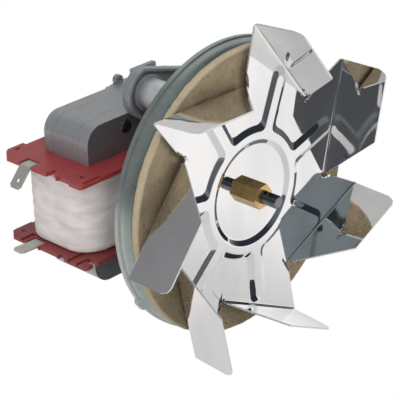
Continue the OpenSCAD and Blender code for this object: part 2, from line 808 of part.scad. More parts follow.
module coil_tape() {
    color("gainsboro") difference() {
        coil_block(0, lower_inner_z + fit_gap, flange_inner_z - fit_gap);
        coil_block(tape_t, lower_inner_z - cut_extra, flange_inner_z + cut_extra);
    }
}

// Blade terminal: a foot of one length in the flange's notch and a blade bent outwards by droop
module terminal(z, foot_l, droop) {
    foot_x = bobbin_x - bobbin_w / 2 + notch_l - fit_gap;
    half_t = tab_t / 2;
    shift = half_t * tan(droop / 2);
    reach = tab_l * polar(1, 180 - droop);
    across = half_t * polar(1, 90 - droop);
    clip = tab_w / 5;
    hole_share = 0.64;
    bend = [-foot_l, 0];
    color("darkgray") translate([foot_x, -stack_mid - terminal_y, z])
        difference() {
            rotate([90, 0, 0]) linear_extrude(tab_w, center = true)
                polygon([[0, half_t], [0, -half_t], bend + [-shift, -half_t], bend + reach - across,
                    bend + reach + across, bend + [shift, half_t]]);
            translate([-foot_l, 0, 0]) rotate([0, droop - 180, 0]) {
                translate([hole_share * tab_l, 0, -cut_extra])
                    cylinder(d = tab_hole_d, h = 2 * cut_extra, $fn = 24);
                for (sy = [-1, 1])
                    translate([tab_l, sy * tab_w / 2, 0]) rotate(45)
                        cube([clip * sqrt(2), clip * sqrt(2), 2 * cut_extra], center = true);
            }
        }
}

module terminal_upper() {
    terminal(flange_outer_z - bobbin_flange_t / 2, 4.75, -tab_droop_upper);
}

module terminal_lower() {
    terminal(lower_outer_z + lower_flange_t / 2, 2.95, tab_droop_lower);
}

module through_bolts() {
    past_nut = 1.2;
    color("lightgray") in_frame() for (b = bolts_loop)
        translate(b) {
            disc(stack_bolt_d, stack_back - rear_ear_t - bolt_nut_h - past_nut,
                stack_front + bracket_plate_t);
            disc(bolt_head_d, stack_front + bracket_plate_t, stack_front + bracket_plate_t + bolt_head_h);
        }
}

module through_nuts() {
    af = 7;
    hole_d = stack_bolt_d + 2 * fit_gap;
    color("silver") in_frame() for (b = bolts_loop)
        translate([b[0], b[1], stack_back - rear_ear_t - bolt_nut_h]) difference() {
            cylinder(d = af / cos(30), h = bolt_nut_h, $fn = 6);
            translate([0, 0, -cut_extra]) cylinder(d = hole_d, h = bolt_nut_h + 2 * cut_extra);
        }
}

module bearing(z) {
    color("saddlebrown") in_frame() difference() {
        intersection() {
            translate([0, 0, z]) sphere(bearing_r);
            disc(bearing_d + 2, z - bearing_half, z + bearing_half);
        }
        disc(shaft_d + 2 * shaft_clearance, z - bearing_l, z + bearing_l);
    }
}

module front_bearing() {
    bearing(front_bearing_z);
}

module rear_bearing() {
    bearing(rear_bearing_z);
}

// Spring washer that presses the bearing into its seat, on the rotor's side
module bearing_clip(z, side) {
    inner_r = sqrt(pow(bearing_r, 2) - pow(clip_offset - clip_t / 2, 2)) + fit_gap;
    color("gray") in_frame() translate([0, 0, z + side * clip_offset]) difference() {
        cylinder(r = housing_inner_r - fit_gap, h = clip_t, center = true);
        cylinder(r = inner_r, h = 2, center = true);
    }
}

module front_bearing_clip() {
    bearing_clip(front_bearing_z, -1);
}

module rear_bearing_clip() {
    bearing_clip(rear_bearing_z, 1);
}

module oil_felt(z, side) {
    felt_t = 2;
    z_mid = z + side * (clip_offset + clip_t / 2 + felt_t / 2);
    color("ivory") in_frame() difference() {
        disc(2 * (housing_inner_r - fit_gap), z_mid - felt_t / 2, z_mid + felt_t / 2);
        disc(bearing_d - 2, z_mid - felt_t, z_mid + felt_t);
    }
}

module front_oil_felt() {
    oil_felt(front_bearing_z, -1);
}

module rear_oil_felt() {
    oil_felt(rear_bearing_z, 1);
}

rotor_bar_skin = 0.6;

module rotor_bar_holes_2d() {
    for (i = [0 : rotor_bars - 1])
        rotate(i * 360 / rotor_bars) translate([rotor_r - rotor_bar_d / 2 - rotor_bar_skin, 0])
            circle(d = rotor_bar_d, $fn = 24);
}

module rotor_core() {
    color("slategray") in_frame() slab(stack_back, stack_front) difference() {
        circle(rotor_r);
        rotor_bar_holes_2d();
        circle(d = shaft_d);
    }
}

module rotor_cage() {
    ring_inner_r = rotor_r - rotor_bar_d - 3;
    ring_outer_r = rotor_r - 0.4;
    color("lightgray") in_frame() {
        slab(stack_back, stack_front) rotor_bar_holes_2d();
        for (z = [ring_back, stack_front])
            slab(z, z + end_ring_t) difference() {
                circle(ring_outer_r);
                circle(ring_inner_r);
            }
    }
}

module tube_between(od, z0, z1) {
    difference() {
        disc(od, z0, z1);
        disc(shaft_d + 2 * fit_gap, z0 - cut_extra, z1 + cut_extra);
    }
}

front_stop = front_bearing_z - bearing_half - end_play;
rear_stop = rear_bearing_z + bearing_half + end_play;

module rotor_spacers() {
    spacer_d = shaft_d + 4;
    color("white") in_frame() {
        tube_between(spacer_d, stack_front, front_stop - thrust_t);
        tube_between(spacer_d, rear_stop + thrust_t, stack_back);
    }
}

module thrust_washers() {
    color("khaki") in_frame() {
        tube_between(shaft_d + 5, front_stop - thrust_t, front_stop);
        tube_between(shaft_d + 5, rear_stop, rear_stop + thrust_t);
    }
}

fan_wheel();
hub_nut();
shaft();
fan_collar();
insulation_disc();
mounting_flange();
flange_screws();
front_bracket();
rear_bracket();
stator_stack();
bridge_core();
stack_rivets();
shading_rings();
bobbin();
coil_winding();
coil_tape();
terminal_upper();
terminal_lower();
through_bolts();
through_nuts();
front_bearing();
rear_bearing();
front_bearing_clip();
rear_bearing_clip();
front_oil_felt();
rear_oil_felt();
rotor_core();
rotor_cage();
rotor_spacers();
thrust_washers();
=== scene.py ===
"""Looks of the oven fan motor: finishes, pressed fan sheet, flange, fibre disc and taped coil."""

import json
import math

import bpy
from mathutils import Matrix, Vector, noise


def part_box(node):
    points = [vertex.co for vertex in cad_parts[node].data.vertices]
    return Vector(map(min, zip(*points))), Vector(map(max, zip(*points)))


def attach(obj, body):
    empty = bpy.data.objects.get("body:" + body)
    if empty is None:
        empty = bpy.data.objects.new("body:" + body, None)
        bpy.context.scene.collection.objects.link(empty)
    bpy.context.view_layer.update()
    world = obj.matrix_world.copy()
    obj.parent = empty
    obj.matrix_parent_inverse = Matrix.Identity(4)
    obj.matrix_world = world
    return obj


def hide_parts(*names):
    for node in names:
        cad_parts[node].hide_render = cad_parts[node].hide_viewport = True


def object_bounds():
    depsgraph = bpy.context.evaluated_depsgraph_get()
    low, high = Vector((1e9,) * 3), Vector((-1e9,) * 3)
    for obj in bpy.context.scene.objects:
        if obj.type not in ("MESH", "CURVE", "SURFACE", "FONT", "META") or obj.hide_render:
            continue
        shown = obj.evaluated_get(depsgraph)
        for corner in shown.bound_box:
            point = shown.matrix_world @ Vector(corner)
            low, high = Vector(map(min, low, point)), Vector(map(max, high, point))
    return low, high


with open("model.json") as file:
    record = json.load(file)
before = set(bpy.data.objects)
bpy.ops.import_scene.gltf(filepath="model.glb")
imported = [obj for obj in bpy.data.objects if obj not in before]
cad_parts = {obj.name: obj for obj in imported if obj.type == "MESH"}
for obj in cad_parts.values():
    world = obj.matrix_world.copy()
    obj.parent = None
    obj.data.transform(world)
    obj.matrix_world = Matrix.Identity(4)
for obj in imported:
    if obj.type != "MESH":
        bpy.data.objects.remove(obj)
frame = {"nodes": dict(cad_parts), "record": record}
cad_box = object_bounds()
MM = 0.001


# Camera, at the photograph's viewing angle

CAMERA_AZIMUTH = math.radians(-45.67)
CAMERA_ELEVATION = math.radians(25.98)
CAMERA_ROLL = math.radians(-1.86)
CAMERA_DISTANCE = 709.7 * MM
CAMERA_SIDE = -10.69 * MM
CAMERA_RISE = -7.36 * MM
FOCAL_PIXELS = 1637.84
IMAGE_PIXELS = 400
SENSOR_MM = 36
CLIP_START = 0.01


def make_camera():
    a, e, roll = CAMERA_AZIMUTH, CAMERA_ELEVATION, CAMERA_ROLL
    back = Vector((math.sin(a) * math.cos(e), -math.cos(a) * math.cos(e), math.sin(e)))
    right = Vector((math.cos(a), math.sin(a), 0))
    up = back.cross(right)
    place = right * CAMERA_SIDE + up * CAMERA_RISE + back * CAMERA_DISTANCE
    across = right * math.cos(roll) + up * math.sin(roll)
    above = up * math.cos(roll) - right * math.sin(roll)
    data = bpy.data.cameras.new("camera")
    data.sensor_width = SENSOR_MM
    data.lens = FOCAL_PIXELS * data.sensor_width / IMAGE_PIXELS
    data.clip_start = CLIP_START
    camera = bpy.data.objects.new("camera", data)
    turn = Matrix((across, above, back)).transposed()
    camera.matrix_world = Matrix.Translation(place) @ turn.to_4x4()
    bpy.context.collection.objects.link(camera)
    bpy.context.scene.camera = camera


# Node helpers


class Nodes:
    """Builds a node tree with short calls."""

    def __init__(self, tree):
        self.tree = tree
        tree.nodes.clear()

    def add(self, kind, **settings):
        node = self.tree.nodes.new("ShaderNode" + kind)
        for key, value in settings.items():
            setattr(node, key, value)
        return node

    def put(self, socket, value):
        if isinstance(value, bpy.types.NodeSocket):
            self.tree.links.new(value, socket)
        elif isinstance(value, (tuple, list)) and len(value) == 3 and socket.type == "RGBA":
            socket.default_value = (*value, 1)
        else:
            socket.default_value = value

    def math(self, operation, a, b=0.5, c=None):
        node = self.add("Math", operation=operation)
        self.put(node.inputs[0], a)
        self.put(node.inputs[1], b)
        if c is not None:
            self.put(node.inputs[2], c)
        return node.outputs[0]

    def step(self, value, low, high):
        """0 below low, 1 above high, smooth between them."""
        node = self.add("MapRange", interpolation_type="SMOOTHSTEP")
        self.put(node.inputs["Value"], value)
        self.put(node.inputs["From Min"], low)
        self.put(node.inputs["From Max"], high)
        return node.outputs[0]

    def mix(self, factor, a, b, blend="MIX"):
        node = self.add("Mix", data_type="RGBA", blend_type=blend)
        self.put(node.inputs[0], factor)
        self.put(node.inputs[6], a)
        self.put(node.inputs[7], b)
        return node.outputs[2]

    def place(self, scale=(1, 1, 1)):
        """Object coordinates in millimetres, stretched."""
        coordinate = self.add("TexCoord").outputs["Object"]
        mapping = self.add("Mapping")
        self.put(mapping.inputs["Vector"], coordinate)
        self.put(mapping.inputs["Scale"], tuple(1000 * s for s in scale))
        return mapping.outputs[0]

    def noise(self, scale, detail=3, stretch=(1, 1, 1), rough=0.5, distortion=0):
        """Noise with features about 1/scale millimetres long."""
        node = self.add("TexNoise")
        self.put(node.inputs["Vector"], self.place(stretch))
        self.put(node.inputs["Scale"], scale)
        self.put(node.inputs["Detail"], detail)
        self.put(node.inputs["Roughness"], rough)
        self.put(node.inputs["Distortion"], distortion)
        return node.outputs[0]

    def range(self, value, low, high):
        node = self.add("MapRange")
        self.put(node.inputs["Value"], value)
        self.put(node.inputs["To Min"], low)
        self.put(node.inputs["To Max"], high)
        return node.outputs[0]

    def axis(self, vector, index):
        node = self.add("SeparateXYZ")
        self.put(node.inputs[0], vector)
        return node.outputs[index]

    def bump(self, height, depth_mm, normal=None):
        node = self.add("Bump")
        self.put(node.inputs["Height"], height)
        self.put(node.inputs["Distance"], depth_mm * MM)
        if normal is not None:
            self.put(node.inputs["Normal"], normal)
        return node.outputs[0]


def srgb(*values):
    """Linear colour of 0 to 255 screen values."""
    share = [v / 255 for v in values]
    return tuple(s / 12.92 if s < 0.04045 else ((s + 0.055) / 1.055) ** 2.4 for s in share)


def material(name, **sockets):
    """A new material, its node helper and its shader, with the given shader inputs."""
    made = bpy.data.materials.new(name)
    made.use_nodes = True
    nodes = Nodes(made.node_tree)
    shader = nodes.add("BsdfPrincipled")
    out = nodes.add("OutputMaterial")
    made.node_tree.links.new(shader.outputs[0], out.inputs["Surface"])
    for key, value in sockets.items():
        nodes.put(shader.inputs[key.replace("_", " ")], value)
    return made, nodes, shader


# Finishes


def fan_steel():
    made, n, shader = material("fan_steel", Metallic=1.0)
    rolled = n.noise(0.035, 4, (1, 1, 0.35), rough=0.55)
    streaks = n.step(rolled, 0.35, 0.7)
    n.put(shader.inputs["Base Color"], n.mix(streaks, (0.90, 0.895, 0.89), (0.79, 0.785, 0.79)))
    haze = n.noise(0.05, 4, rough=0.6)
    n.put(shader.inputs["Roughness"], n.range(n.step(haze, 0.45, 0.75), 0.03, 0.12))
    waves = n.noise(0.03, 1)
    n.put(shader.inputs["Normal"], n.bump(waves, 0.22))
    return made


def cut_edge():
    """Sheared edge of the fan's sheet, brighter and rougher than its faces."""
    made, n, shader = material("cut_edge", Metallic=0.6)
    tone = n.noise(0.9, 4)
    n.put(shader.inputs["Base Color"], n.mix(tone, srgb(196, 196, 198), srgb(236, 236, 236)))
    n.put(shader.inputs["Roughness"], n.range(tone, 0.34, 0.5))
    return made


def brass():
    made, n, shader = material("brass", Metallic=0.75)
    tone = n.noise(0.4, 4)
    n.put(shader.inputs["Base Color"], n.mix(tone, srgb(226, 194, 134), srgb(190, 154, 94)))
    n.put(shader.inputs["Roughness"], n.range(tone, 0.16, 0.3))
    n.put(shader.inputs["Normal"], n.bump(n.noise(3, 2, (0.2, 4, 0.2)), 0.01))
    return made


def dark_steel():
    made, n, shader = material("dark_steel", Metallic=1.0)
    tone = n.noise(0.8, 4)
    n.put(shader.inputs["Base Color"], n.mix(tone, srgb(104, 105, 112), srgb(150, 150, 156)))
    n.put(shader.inputs["Roughness"], n.range(tone, 0.18, 0.34))
    return made


def plated_steel():
    made, n, shader = material("plated_steel", Metallic=0.55)
    tone = n.noise(0.5, 4)
    n.put(shader.inputs["Base Color"], n.mix(tone, srgb(178, 178, 172), srgb(206, 205, 200)))
    n.put(shader.inputs["Roughness"], n.range(tone, 0.22, 0.4))
    return made


def mineral_fibre():
    made, n, shader = material("mineral_fibre", Roughness=0.95)
    shader.inputs["Specular IOR Level"].default_value = 0.2
    mottle = n.noise(0.09, 6, rough=0.62)
    grain = n.noise(1.6, 5, rough=0.7)
    base = n.mix(n.step(mottle, 0.28, 0.74), srgb(146, 132, 108), srgb(170, 156, 130))
    base = n.mix(n.range(grain, 0.0, 0.55), base, srgb(122, 104, 78))
    flecks = n.step(n.noise(0.5, 4, rough=0.8), 0.54, 0.68)
    base = n.mix(n.math("MULTIPLY", flecks, 0.55), base, srgb(92, 78, 60))
    radius = n.math("SQRT", n.math("ADD",
        n.math("POWER", n.axis(n.place(), 0), 2.0), n.math("POWER", n.axis(n.place(), 2), 2.0)))
    # Painted highlight: a pale band round the outer rim (radius 63.2 to 65 mm) stands for the lit side
    # wall of the disc.
    edge = n.step(radius, 63.2, 65.0)
    base = n.mix(edge, base, srgb(206, 190, 160))
    n.put(shader.inputs["Base Color"], base)
    fibres = n.noise(2.5, 6, rough=0.75)
    n.put(shader.inputs["Normal"], n.bump(fibres, 0.7, n.bump(n.noise(0.5, 4), 0.9)))
    return made


def galvanised():
    made, n, shader = material("galvanised", Metallic=0.85)
    cells = n.add("TexVoronoi", feature="F1")
    n.put(cells.inputs["Vector"], n.place())
    n.put(cells.inputs["Scale"], 0.35)
    spangle = n.axis(cells.outputs["Color"], 0)
    tone = n.math("ADD", n.math("MULTIPLY", spangle, 0.35), n.math("MULTIPLY", n.noise(0.12, 4), 0.65))
    n.put(shader.inputs["Base Color"], n.mix(tone, srgb(152, 162, 158), srgb(184, 193, 189)))
    n.put(shader.inputs["Roughness"], n.range(tone, 0.26, 0.4))
    n.put(shader.inputs["Normal"], n.bump(n.noise(0.9, 4), 0.03))
    return made


def cast_alloy():
    made, n, shader = material("cast_alloy", Metallic=0.4)
    tone = n.noise(0.22, 6, rough=0.65)
    base = n.mix(tone, srgb(172, 175, 178), srgb(230, 231, 232))
    # Painted shade: the casting is darker towards the rear (y past 15 to 20 mm), standing for the shade
    # in the bracket's recess.
    plate = n.step(n.axis(n.place(), 1), 15.0, 20.0)
    n.put(shader.inputs["Base Color"], n.mix(n.math("MULTIPLY", plate, 0.6), base, srgb(92, 97, 104)))
    n.put(shader.inputs["Roughness"], n.range(tone, 0.26, 0.46))
    n.put(shader.inputs["Normal"], n.bump(n.noise(1.4, 4), 0.06))
    return made


def lamination():
    """Dark coated faces, with ground grey edges where the sheets show their sides."""
    made, n, shader = material("lamination", Metallic=0.5)
    normal = n.add("TexCoord").outputs["Normal"]
    facing = n.step(n.math("ABSOLUTE", n.axis(normal, 1), 0), 0.6, 0.8)
    sheets = n.noise(1.0, 3, (0.02, 2.2, 0.02))
    streaks = n.noise(0.5, 4, (0.25, 3.0, 0.25))
    edge = n.mix(sheets, srgb(134, 137, 140), srgb(174, 176, 178))
    edge = n.mix(n.step(streaks, 0.55, 0.8), edge, srgb(120, 122, 126))
    face = n.mix(n.noise(0.3, 4), srgb(100, 96, 101), srgb(130, 125, 130))
    n.put(shader.inputs["Base Color"], n.mix(facing, edge, face))
    smoother = n.math("MULTIPLY", facing, 0.08)
    n.put(shader.inputs["Roughness"], n.math("SUBTRACT", n.range(streaks, 0.3, 0.46), smoother))
    n.put(shader.inputs["Normal"], n.bump(sheets, 0.02))
    return made


def bobbin_red():
    made, n, shader = material("bobbin_red", IOR=1.5)
    tone = n.noise(0.12, 5)
    base = n.mix(tone, srgb(140, 48, 50), srgb(166, 66, 66))
    # Painted shade: the bobbin is darkened below its centre, where less light reaches it.
    painted_lower_shade = n.step(n.axis(n.place(), 2), 0.0, -12.0)
    base = n.mix(n.math("MULTIPLY", painted_lower_shade, 0.5), base, srgb(96, 40, 42))
    n.put(shader.inputs["Base Color"], base)
    n.put(shader.inputs["Roughness"], n.range(n.noise(0.5, 4), 0.34, 0.52))
    n.put(shader.inputs["Normal"], n.bump(n.noise(1.2, 4), 0.05))
    return made


def copper_wire():
    made, n, shader = material("copper_wire", Metallic=1.0, Roughness=0.35)
    n.put(shader.inputs["Base Color"], n.mix(n.noise(0.6, 3), srgb(168, 92, 52), srgb(196, 118, 70)))
    n.put(shader.inputs["Normal"], n.bump(n.noise(2, 2, (0.05, 0.05, 3)), 0.2))
    return made


def glass_tape():
    made, n, shader = material("coil_tape", Roughness=0.7)
    shader.inputs["Specular IOR Level"].default_value = 0.35
    cloud = n.noise(0.1, 5, (1, 1, 2.5))
    base = n.mix(n.step(cloud, 0.3, 0.7), srgb(210, 203, 200), srgb(230, 223, 220))
    smudge = n.step(n.noise(0.16, 4, (0.4, 0.4, 3), rough=0.7), 0.58, 0.74)
    base = n.mix(n.math("MULTIPLY", smudge, 0.4), base, srgb(164, 152, 150))
    n.put(shader.inputs["Base Color"], base)
    weave = n.math("MULTIPLY", n.noise(5, 2, (1, 1, 0.4)), n.noise(5, 2, (0.4, 0.4, 1)))
    n.put(shader.inputs["Normal"], n.bump(weave, 0.12, n.bump(n.noise(0.22, 3, (0.5, 0.5, 2.4)), 0.35)))
    return made


def tinned_brass():
    made, n, shader = material("tinned_brass", Metallic=0.6)
    tone = n.noise(0.7, 5)
    n.put(shader.inputs["Base Color"], n.mix(tone, srgb(168, 166, 156), srgb(208, 207, 200)))
    n.put(shader.inputs["Roughness"], n.range(tone, 0.28, 0.44))
    n.put(shader.inputs["Normal"], n.bump(n.noise(1.5, 3), 0.03))
    return made


def plain_metal(name, dark, light, low, high):
    made, n, shader = material(name, Metallic=1.0)
    tone = n.noise(0.6, 4)
    n.put(shader.inputs["Base Color"], n.mix(tone, dark, light))
    n.put(shader.inputs["Roughness"], n.range(tone, low, high))
    return made


def plain_soft(name, dark, light, roughness):
    made, n, shader = material(name, Roughness=roughness)
    n.put(shader.inputs["Base Color"], n.mix(n.noise(0.8, 5), dark, light))
    n.put(shader.inputs["Normal"], n.bump(n.noise(3, 4), 0.05))
    return made


def make_finishes():
    return {
        "fan_steel": fan_steel(),
        "cut_edge": cut_edge(),
        "brass": brass(),
        "dark_steel": dark_steel(),
        "plated_steel": plated_steel(),
        "mineral_fibre": mineral_fibre(),
        "galvanised": galvanised(),
        "cast_alloy": cast_alloy(),
        "lamination": lamination(),
        "bobbin_red": bobbin_red(),
        "copper_wire": copper_wire(),
        "coil_tape": glass_tape(),
        "tinned_brass": tinned_brass(),
        "copper_bar": plain_metal("copper_bar", srgb(170, 98, 60), srgb(206, 132, 88), 0.3, 0.45),
        "bronze": plain_metal("bronze", srgb(122, 88, 54), srgb(150, 110, 72), 0.45, 0.6),
        "felt": plain_soft("felt", srgb(206, 198, 178), srgb(226, 220, 204), 0.95),
        "cage_alloy": plain_metal("cage_alloy", srgb(176, 178, 180), srgb(204, 206, 208), 0.35, 0.5),
        "nylon": plain_soft("nylon", srgb(222, 220, 212), srgb(236, 234, 226), 0.5),
    }


# Mesh helpers


def new_piece(name, verts, faces, body, slot, finish, *replaced):
    """A smooth shaded mesh piece on a body, in place of the named nodes."""
    mesh = bpy.data.meshes.new(name)
    mesh.from_pydata([tuple(v) for v in verts], [], faces)
    mesh.validate()
    mesh.polygons.foreach_set("use_smooth", [True] * len(mesh.polygons))
    piece = bpy.data.objects.new(name, mesh)
    bpy.context.collection.objects.link(piece)
    mesh.materials.append(finish)
    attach(piece, body)
    if replaced:
        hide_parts(*replaced)
    return piece


def smooth_step(low, high, value):
    share = min(max((value - low) / (high - low), 0.0), 1.0)
    return share * share * (3 - 2 * share)


# Fan wheel: one pressed sheet with folded vanes, all sizes in millimetres

BLADES = 7
PITCH = math.radians(360 / BLADES)
FIRST_CORNER = math.radians(85.8)
FOLD_SWEEP = math.radians(44.6)
FAN_R = 75.0
FOLD_INNER_R = 49.8
SHEET_T = 0.8
FOLD_R = 1.0
VANE_LEAN = math.radians(3.8)
VANE_H = 23.5
VANE_FREE_L = 32.0
VANE_CORNER_R = 4.2
RELIEF_R = 1.5
RING_R = 25.75
RING_HALF_W = 2.95
RIB_OFFSET = math.radians(17.8)
RIB_REACH = 54.0
RIB_HALF_W = 3.5
PRESS_H = 1.3
PRESS_SLOPE = 2.6
PRESS_ROUND = 0.5
PRESS_FILLET = 3.0
BORE_R = 3.1
SHEET_FRONT = 15.5
NOTCH_STEPS = 6
LEAD_STEPS = 10
LEAD_START = 5.4
RIB_STEPS = 22
RIM_STEPS = 10
RIM_MARGIN = 0.2
SPREAD_R = 31.5
RIB_ZONE_R = 47.0
RING_ZONE_R = 20.5
HUB_STEPS = 7
RING_STEPS = 30
FOLD_END_SHORT = 0.8 * RELIEF_R
LOWEST_RISE = 0.3
RIB_SAMPLE = 0.42
PLAIN_SAMPLE = 1.3
RIB_SAMPLE_ANGLE = 8
EDGE_SPLIT_ANGLE = math.radians(34)
FOLD_STEPS = 6
VANE_STEPS = 4


def polar(r, a):
    return Vector((r * math.cos(a), r * math.sin(a)))


def press_height(x, z):
    """Height of the pressed star above the flat of the sheet."""
    r = math.hypot(x, z)
    ring = abs(r - RING_R) - RING_HALF_W
    angle = math.atan2(z, x) - FIRST_CORNER + RIB_OFFSET
    angle = (angle + PITCH / 2) % PITCH - PITCH / 2
    along, across = r * math.cos(angle), r * math.sin(angle)
    tip = RIB_REACH - RIB_HALF_W
    rib = math.hypot(across, max(along - tip, RING_R - along, 0.0)) - RIB_HALF_W
    blend = max(PRESS_FILLET - abs(ring - rib), 0.0) / PRESS_FILLET
    joined = min(ring, rib) - blend * blend * PRESS_FILLET / 4
    distance = joined if r > RING_R else ring
    half = PRESS_SLOPE / 2
    low, high = half + distance, half - distance
    if low < PRESS_ROUND / 2:
        return PRESS_H * (1 - max(low + PRESS_ROUND / 2, 0.0) ** 2 / (2 * PRESS_ROUND * PRESS_SLOPE))
    if high < PRESS_ROUND / 2:
        return PRESS_H * max(high + PRESS_ROUND / 2, 0.0) ** 2 / (2 * PRESS_ROUND * PRESS_SLOPE)
    return PRESS_H * high / PRESS_SLOPE


class FanSheet:
    """Collects the vertices and faces of the wheel's front surface."""

    def __init__(self):
        self.verts = []
        self.faces = []

    def vertex(self, x, z, forward):
        self.verts.append((x * MM, -(SHEET_FRONT + forward) * MM, z * MM))
        return len(self.verts) - 1

    def grid(self, columns, closed):
        pairs = zip(columns, columns[1:] + columns[:1] if closed else columns[1:])
        for left, right in pairs:
            for k in range(len(left) - 1):
                self.faces.append((left[k], right[k], right[k + 1], left[k + 1]))


def fold_frame(turn):
    """Outer corner, direction along the fold, and direction outwards, for one blade."""
    outer = polar(FAN_R, turn)
    inner = polar(FOLD_INNER_R, turn - FOLD_SWEEP)
    along = (inner - outer).normalized()
    return outer, inner, along, Vector((-along.y, along.x))


def fold_samples(length):
    """Distances along the fold, closer together where the rib crosses the blade."""
    outer, inner, along, _ = fold_frame(FIRST_CORNER)
    samples, u = [0.0], 0.0
    while u < length:
        point = outer + along * u
        off = math.degrees(abs(math.atan2(point.y, point.x) - FIRST_CORNER + RIB_OFFSET))
        u += RIB_SAMPLE if off < RIB_SAMPLE_ANGLE else PLAIN_SAMPLE
        samples.append(min(u, length))
    return samples


def vane_top(u, end):
    """Height of the vane's edge above the sheet at a distance along the fold."""
    if u < VANE_CORNER_R:
        return VANE_H - VANE_CORNER_R + math.sqrt(max(VANE_CORNER_R**2 - (VANE_CORNER_R - u) ** 2, 0.0))
    if u < VANE_FREE_L:
        return VANE_H
    return VANE_H + (FOLD_R + SHEET_T - VANE_H) * (u - VANE_FREE_L) / (end - VANE_FREE_L)


def angle_of(point):
    return math.atan2(point.y, point.x)


def notch_and_lead(fold_end, inner, corner):
    """Outline from the fold's end round the relief notch and along the lead edge."""
    start = angle_of(fold_end - inner)
    sweep = (angle_of(inner) - math.pi / 2 - start) % (2 * math.pi)
    near = (fold_end - inner).length
    outline = []
    for i in range(1, NOTCH_STEPS + 1):
        share = i / NOTCH_STEPS
        reach = near + (RELIEF_R - near) * share
        outline.append(inner + polar(reach, start + sweep * share))
    first = inner + (corner - inner).normalized() * LEAD_START
    outline += [first.lerp(corner, i / LEAD_STEPS) for i in range(LEAD_STEPS)]
    return outline


def blade_columns(sheet, turn, levels):
    """Columns of one blade's flat part, and the vane that rises from its fold."""
    outer, inner, along, out = fold_frame(turn)
    bend = math.pi / 2 - VANE_LEAN
    setback = (FOLD_R + SHEET_T) * math.tan(bend / 2)
    end = (inner - outer).length - FOLD_END_SHORT
    fold = [(outer + along * u - out * setback, u) for u in fold_samples(end)]
    next_outer, _, _, next_out = fold_frame(turn - PITCH)
    corner = next_outer - next_out * setback
    edge = notch_and_lead(fold[-1][0], inner, corner)
    first_angle = angle_of(fold[-1][0])
    gap = (first_angle - angle_of(corner)) % (2 * math.pi)
    ends = [(point, angle_of(point)) for point, _ in fold]
    ends += [(point, first_angle - gap * (k + 1) / (len(edge) + 1)) for k, point in enumerate(edge)]
    columns = []
    for point, angle in ends:
        spots = [polar(radius, angle) for radius in levels]
        if len(columns) < len(fold):
            zone = (RIB_ZONE_R - SPREAD_R) / RIB_STEPS
            spots += [polar(SPREAD_R + zone * (k + 1), angle) for k in range(RIB_STEPS)]
            steps = RIM_STEPS
        else:
            steps = RIB_STEPS + RIM_STEPS
        foot = spots[-1]
        spots += [foot.lerp(point, (k + 1) / steps) for k in range(steps)]
        spots.insert(-1, point + (foot - point).normalized() * RIM_MARGIN)
        columns.append([sheet.vertex(spot.x, spot.y, press_height(spot.x, spot.y)) for spot in spots])
    vane = []
    for column, (point, u) in zip(columns, fold):
        strip = [column[-1]]
        for i in range(1, FOLD_STEPS + 1):
            a = bend * i / FOLD_STEPS
            spot = point + out * FOLD_R * math.sin(a)
            strip.append(sheet.vertex(spot.x, spot.y, FOLD_R * (1 - math.cos(a))))
        low = FOLD_R * (1 - math.cos(bend))
        base = point + out * FOLD_R * math.sin(bend)
        top = max(vane_top(u, end), low + LOWEST_RISE)
        for i in range(1, VANE_STEPS + 1):
            rise = (top - low) * i / VANE_STEPS
            spot = base + out * rise * math.tan(VANE_LEAN)
            strip.append(sheet.vertex(spot.x, spot.y, low + rise))
        vane.append(strip)
    return columns, vane


def make_fan_wheel(finish, edge_finish):
    sheet = FanSheet()
    levels = [BORE_R + (RING_ZONE_R - BORE_R) * k / HUB_STEPS for k in range(HUB_STEPS)]
    levels += [RING_ZONE_R + (SPREAD_R - RING_ZONE_R) * k / RING_STEPS for k in range(RING_STEPS + 1)]
    columns = []
    for i in range(BLADES):
        blade, vane = blade_columns(sheet, FIRST_CORNER - i * PITCH, levels)
        columns += blade
        sheet.grid(vane, False)
    sheet.grid(columns, True)
    wheel = new_piece("fan_sheet", sheet.verts, sheet.faces, "rotor", "fan_steel", finish, "fan_wheel")
    wall = wheel.modifiers.new("sheet", "SOLIDIFY")
    wall.thickness = SHEET_T * MM
    wall.offset = -1
    wheel.data.materials.append(edge_finish)
    wall.material_offset_rim = 1
    split = wheel.modifiers.new("edges", "EDGE_SPLIT")
    split.split_angle = EDGE_SPLIT_ANGLE
    return wheel


# Flange and insulation disc


def turned(name, section, turns, shape, finish, slot, node):
    """Turns a closed section of (radius, y) about the shaft and lets shape move each point."""
    count = len(section)
    verts, faces = [], []
    for j in range(turns):
        a = 2 * math.pi * j / turns
        for r, y in section:
            reach = shape(r, y, a)
            verts.append((reach * math.cos(a), y, reach * math.sin(a)))
    for j in range(turns):
        for k in range(count):
            here, there = j * count, (j + 1) % turns * count
            k2 = (k + 1) % count
            faces.append((here + k, here + k2, there + k2, there + k))
    return new_piece(name, verts, faces, "motor", slot, finish, node)


SHOULDER_FRONT = 0.0086
SHOULDER_R = 0.0058
FLANGE_WALL = 0.0012
FLANGE_HOLE_R = 0.022
LIP_STEP = 0.0007
LIP_END = -0.0021
LIP_BLEND_END = -0.0026
STIFFENER_BACK = 0.0032
RECESS_R = 0.0572
NIB_ANGLE = math.radians(214)
NIB_HALF_ANGLE = math.radians(2.7)
NIB_RISE = 0.0013
FIBRE_T = 0.0038
FIBRE_BULGE_R = 0.0030
FIBRE_HOLE_R = 0.012
FIBRE_FLAT_R = 0.055
FIBRE_INSET = 0.0003


